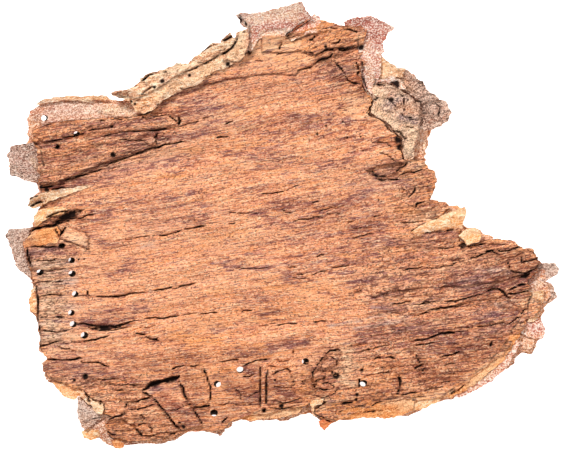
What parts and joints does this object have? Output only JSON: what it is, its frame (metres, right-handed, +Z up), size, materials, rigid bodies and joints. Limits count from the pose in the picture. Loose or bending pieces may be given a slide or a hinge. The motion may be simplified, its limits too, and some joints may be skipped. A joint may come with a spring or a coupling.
{
  "type": "piece of bark",
  "caption": "Loose piece of conifer bark lying on its scaly outer side, reddish fibrous inner face up, with torn stepped edges, lengthwise cracks and beetle exit holes",
  "frame": {"origin": "Centre of the bounding box in X and Y, on the plane the piece rests on", "axes": "+X along the length of the piece, roughly along the grain, towards its pointed end; +Y towards the edge with the large curled scale; +Z up, out of the fibrous inner face"},
  "size_m": [0.2212, 0.1774, 0.0312],
  "materials": {
    "bark": "dry, matt, fibrous"
  },
  "bodies": {
    "root": {"bark": "bark"}
  },
  "joints": []
}
